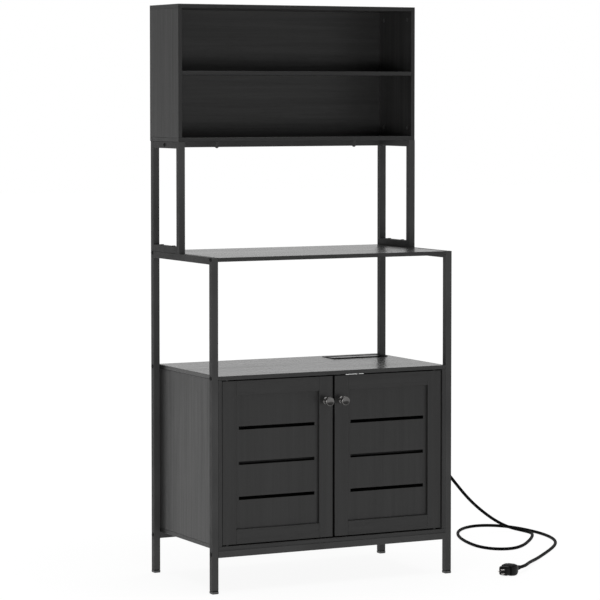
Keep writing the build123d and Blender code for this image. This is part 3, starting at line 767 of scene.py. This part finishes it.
def add_floor_studs():
    """Two domed studs under the hutch floor."""
    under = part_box("hutch_floor")[0]
    middle = under.y + STUD_DEPTH
    steel = powder_coat("floor_stud_steel", STEEL_TONE)
    shells = []
    profile = [(0.0, STUD_FLANGE_RADIUS), (STUD_FLANGE, STUD_FLANGE_RADIUS),
               (STUD_FLANGE_EDGE, STUD_RADIUS), (STUD_LENGTH, STUD_RADIUS)]
    for step in range(1, STUD_DOME_STEPS):
        angle = step * pi / (2 * STUD_DOME_STEPS)
        profile.append((STUD_LENGTH + STUD_DOME * sin(angle),
                        STUD_RADIUS * cos(angle) + STUD_DOME_BRIM))
    for side in (1, -1):
        origin = Vector((side * STUD_PLACE, middle, under.z))
        place = axes(origin, Vector((1, 0, 0)), Vector((0, -1, 0)), Vector((0, 0, -1)))
        shells.append(turned_rings(profile, place, STUD_STEPS))
    mesh_piece("hutch_floor_studs", shells, steel)


def add_outlet_rim():
    """A black rim around the outlet module, standing on its flush trim and lower at the back."""
    low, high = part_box("outlet_bezel")
    place = Matrix.Translation(((low.x + high.x) / 2, (low.y + high.y) / 2, high.z))
    width = high.x - low.x
    depth = high.y - low.y
    # Distance in from the trim's edge, and height.
    section = (
        (0.0, 0.0),
        (0.0, RIM_HEIGHT - RIM_EDGE),
        (RIM_EDGE, RIM_HEIGHT),
        (RIM_WIDTH - RIM_EDGE, RIM_HEIGHT),
        (RIM_WIDTH, RIM_HEIGHT - RIM_EDGE),
        (RIM_WIDTH, 0.0),
    )
    rings = []
    for inset, height in section:
        ring = oblong(width - 2 * inset, depth - 2 * inset, RIM_CORNER - inset, 0.0, place)
        for point in ring:
            share = (high.y - point.y) / depth
            point.z += height * (RIM_BACK_SHARE + (1 - RIM_BACK_SHARE) * share)
        rings.append(ring)
    plastic = moulded("rim_plastic", **RIM_PLASTIC)
    mesh_piece("outlet_rim", [rings], plastic, closed=True)


def add_floor():
    mesh = bpy.data.meshes.new("floor")
    half = FLOOR_HALF_WIDTH
    mesh.from_pydata([(-half, -half, 0), (half, -half, 0), (half, half, 0), (-half, half, 0)],
                     [], [(0, 1, 2, 3)])
    floor = add_object("floor", mesh)
    shader = Shader("floor", Base_Color=FLOOR_TONE, Roughness=0.9, Specular_IOR_Level=0.0,
                    Emission_Color=WHITE)
    distance = shader.node("ShaderNodeVectorMath", operation="LENGTH")
    shader.link(shader.place(even(1)), distance.inputs[0])
    # The floor's glow is dimmer near the rack: painted shade around it.
    shader.link(shader.spread(distance.outputs["Value"], *FLOOR_GLOWS, *FLOOR_DISTANCES),
                shader.surface.inputs["Emission Strength"])
    mesh.materials.append(shader.material)


def add_area(name, place, target, size, power):
    data = bpy.data.lights.new(name, "AREA")
    data.shape = "RECTANGLE"
    data.size, data.size_y = size
    data.energy = power
    light = add_object(name, data)
    light.location = place
    light.rotation_euler = (Vector(target) - Vector(place)).to_track_quat("-Z", "Y").to_euler()


def add_world():
    """White behind everything; as light it is brightest at the back right, and dimmer in front."""
    world = bpy.data.worlds.new("studio")
    bpy.context.scene.world = world
    world.use_nodes = True
    tree = world.node_tree
    tree.nodes.clear()
    coordinates = tree.nodes.new("ShaderNodeTexCoord")
    towards = tree.nodes.new("ShaderNodeVectorMath")
    towards.operation = "DOT_PRODUCT"
    towards.inputs[1].default_value = BRIGHT_SIDE
    slope = tree.nodes.new("ShaderNodeMapRange")
    slope.inputs["From Min"].default_value = BRIGHT_COSINES[0]
    slope.inputs["From Max"].default_value = BRIGHT_COSINES[1]
    slope.inputs["To Min"].default_value = BRIGHT_STRENGTHS[0]
    slope.inputs["To Max"].default_value = BRIGHT_STRENGTHS[1]
    soft = tree.nodes.new("ShaderNodeBackground")
    soft.inputs["Color"].default_value = WHITE
    white = tree.nodes.new("ShaderNodeBackground")
    white.inputs["Color"].default_value = WHITE
    path = tree.nodes.new("ShaderNodeLightPath")
    mix = tree.nodes.new("ShaderNodeMixShader")
    output = tree.nodes.new("ShaderNodeOutputWorld")
    links = tree.links
    links.new(coordinates.outputs["Generated"], towards.inputs[0])
    links.new(towards.outputs["Value"], slope.inputs["Value"])
    links.new(slope.outputs["Result"], soft.inputs["Strength"])
    links.new(path.outputs["Is Camera Ray"], mix.inputs["Fac"])
    links.new(soft.outputs["Background"], mix.inputs[1])
    links.new(white.outputs["Background"], mix.inputs[2])
    links.new(mix.outputs["Shader"], output.inputs["Surface"])


def add_camera():
    data = bpy.data.cameras.new("camera")
    data.sensor_width = CAMERA_SENSOR
    data.lens = CAMERA_LENS
    data.shift_y = CAMERA_SHIFT
    data.clip_end = CAMERA_REACH
    camera = add_object("camera", data)
    camera.location = CAMERA_PLACE
    camera.rotation_euler = (radians(90 - CAMERA_TILT), 0.0, radians(-CAMERA_TURN))
    bpy.context.scene.camera = camera


add_camera()
add_cord()
paint_frame()
for slot, board in BOARDS.items():
    paint_boards(slot, **board)
paint_knobs()
paint_fittings()
add_usb_tongues()
add_floor_studs()
add_outlet_rim()
add_floor()
add_world()
for light in AREA_LIGHTS:
    add_area(*light)
bpy.context.scene.view_settings.view_transform = "Standard"
